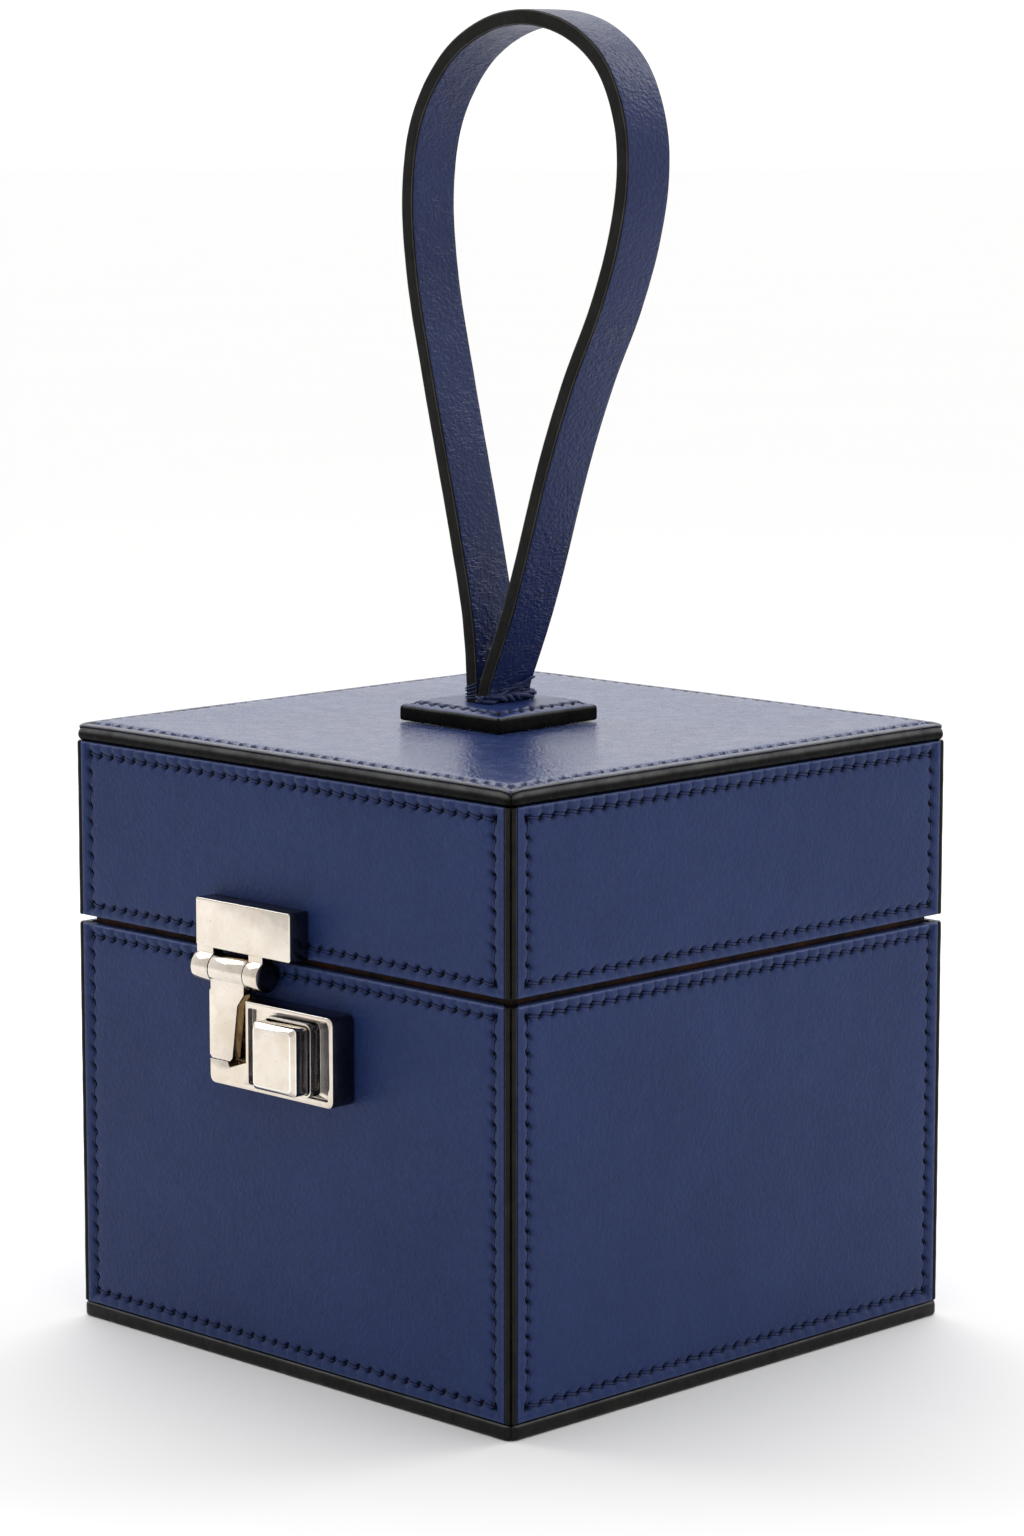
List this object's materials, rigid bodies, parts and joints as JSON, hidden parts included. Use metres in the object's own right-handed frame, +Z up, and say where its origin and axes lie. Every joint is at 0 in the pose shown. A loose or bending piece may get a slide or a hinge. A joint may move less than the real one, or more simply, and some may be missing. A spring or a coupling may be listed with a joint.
{
  "type": "box bag with strap handle and hasp lock",
  "caption": "Stiff cube-shaped leather box bag with a hinged lid, a wrist strap loop on top and a hasp lock with a push button in front.",
  "frame": {"origin": "middle of the underside, on the surface that the bag stands on", "axes": "+Z up, the clasp and lock face -Y, the hinge is on the +Y side, +X to the right of the lock as seen from behind it"},
  "size_m": [0.13, 0.1462, 0.2758],
  "materials": {
    "leather_navy": "fine-grained navy leather, satin, saddle stitched",
    "edge_black": "black painted leather edge, satin",
    "lining_tan": "tan lining leather, matte",
    "nickel": "polished nickel"
  },
  "bodies": {
    "base": {"base_front": "leather_navy", "base_right": "leather_navy", "base_back": "leather_navy", "base_left": "leather_navy", "base_edge_front_left": "edge_black", "base_edge_front_right": "edge_black", "base_edge_back_right": "edge_black", "base_edge_back_left": "edge_black", "base_bottom_band": "edge_black", "base_bottom": "leather_navy", "base_lining": "lining_tan", "lock_plate": "nickel", "hinge_base_leaf": "nickel", "hinge_pin": "nickel"},
    "lid": {"lid_front": "leather_navy", "lid_right": "leather_navy", "lid_back": "leather_navy", "lid_left": "leather_navy", "lid_edge_front_left": "edge_black", "lid_edge_front_right": "edge_black", "lid_edge_back_right": "edge_black", "lid_edge_back_left": "edge_black", "lid_top_band": "edge_black", "lid_top": "leather_navy", "lid_lining": "lining_tan", "handle_patch": "leather_navy", "handle_strap": "leather_navy", "clasp_block": "nickel", "clasp_pin": "nickel", "hinge_lid_leaf": "nickel"},
    "hasp": {"hasp": "nickel"},
    "lock_button": {"lock_button": "nickel"}
  },
  "joints": [
    {"name": "lid_hinge", "type": "hinge", "parent": "base", "child": "lid", "pos_m": [0, 0.0674, 0.08655], "axis": [-1, 0, 0], "range_deg": [0, 105]},
    {"name": "hasp_hinge", "type": "hinge", "parent": "lid", "child": "hasp", "pos_m": [-0.01, -0.0686, 0.0832], "axis": [-1, 0, 0], "range_deg": [0, 100]},
    {"name": "button_press", "type": "slide", "parent": "base", "child": "lock_button", "axis": [0, 1, 0], "range_m": [0, 0.0015], "stiffness_N_per_m": 300}
  ]
}
